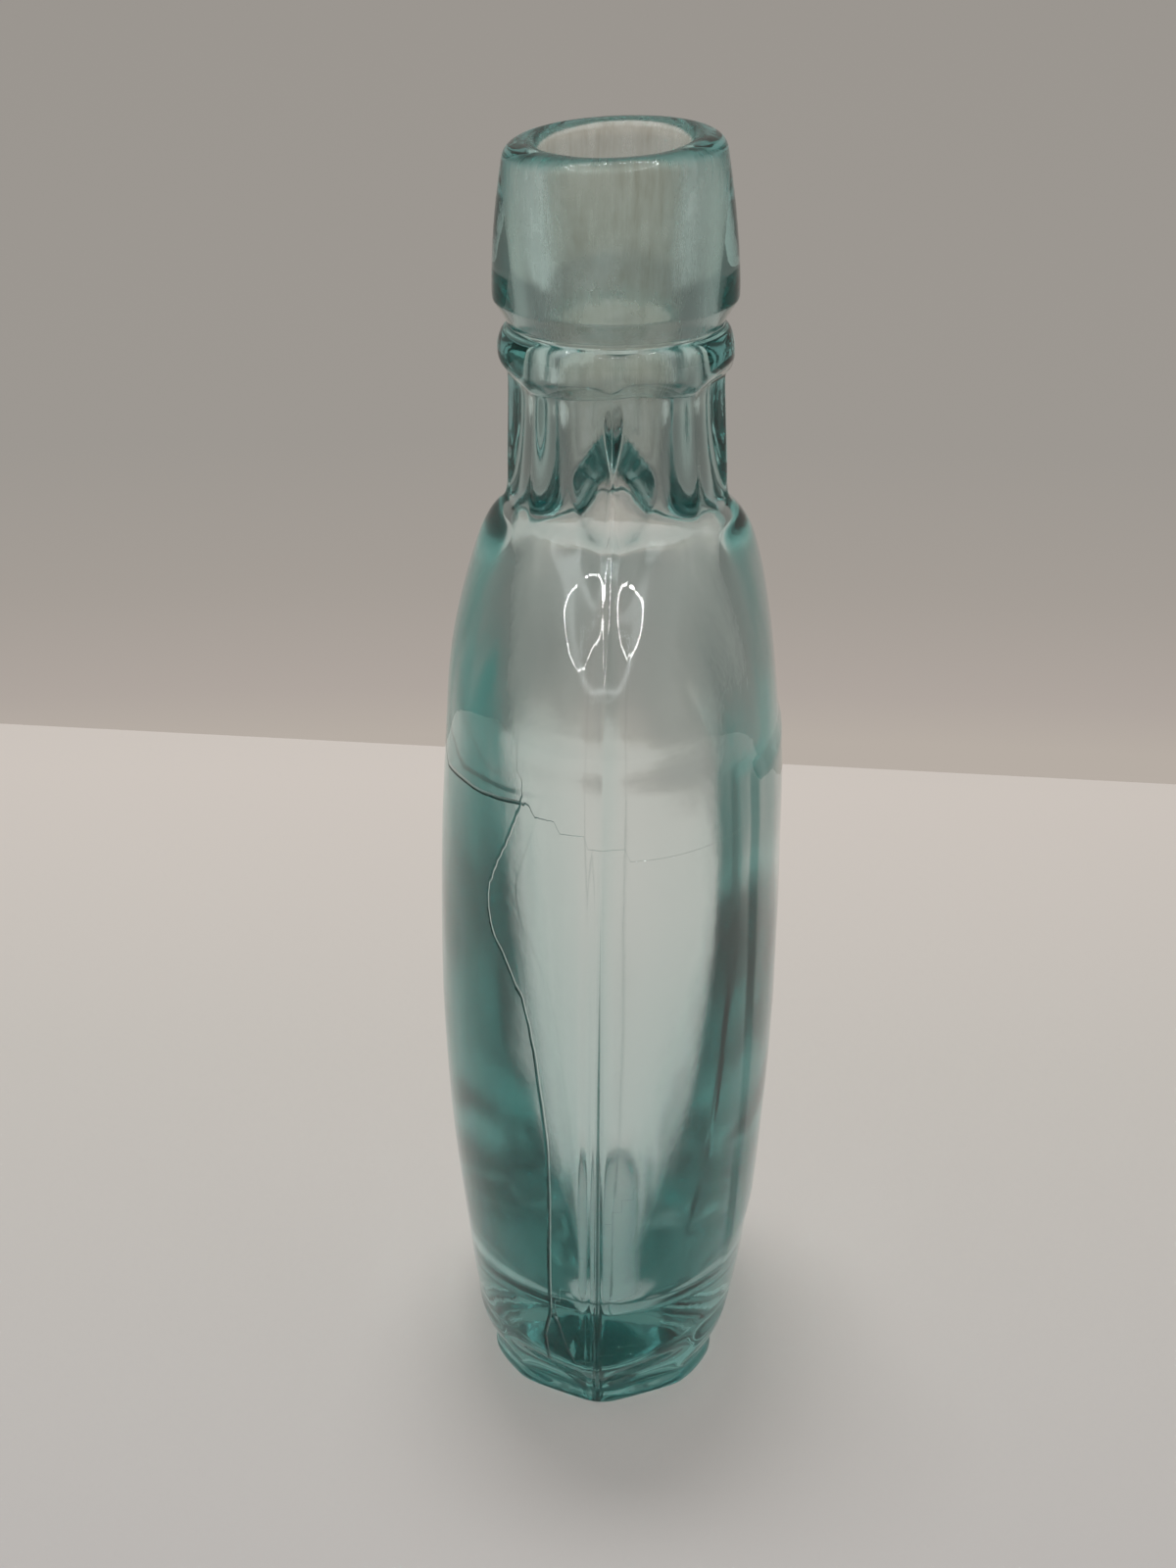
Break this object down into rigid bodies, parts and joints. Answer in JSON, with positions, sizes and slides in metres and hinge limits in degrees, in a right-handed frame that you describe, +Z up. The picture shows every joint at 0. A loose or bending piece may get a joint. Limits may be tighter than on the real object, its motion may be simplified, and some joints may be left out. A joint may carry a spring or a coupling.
{
  "type": "spirit flask",
  "caption": "Oval hand-blown aqua glass flask with rounded shoulders, a panelled neck, a laid-on neck ring and a tall laid-on lip.",
  "frame": {"origin": "centre of the foot, on the surface that the flask stands on", "axes": "+Z up along the neck, +X along the flask's broad width, +Y through its thickness; the plain broad face is at +Y"},
  "size_m": [0.084, 0.0464, 0.166],
  "materials": {
    "body_glass": "glossy hand-blown glass, pale blue-green",
    "ring_glass": "glossy hand-laid glass, deeper blue-green where it is thick",
    "lip_glass": "glossy tooled glass, blue-green, with faint tool marks"
  },
  "bodies": {
    "root": {"flask_body": "body_glass", "neck_ring": "ring_glass", "applied_lip": "lip_glass"}
  },
  "joints": []
}
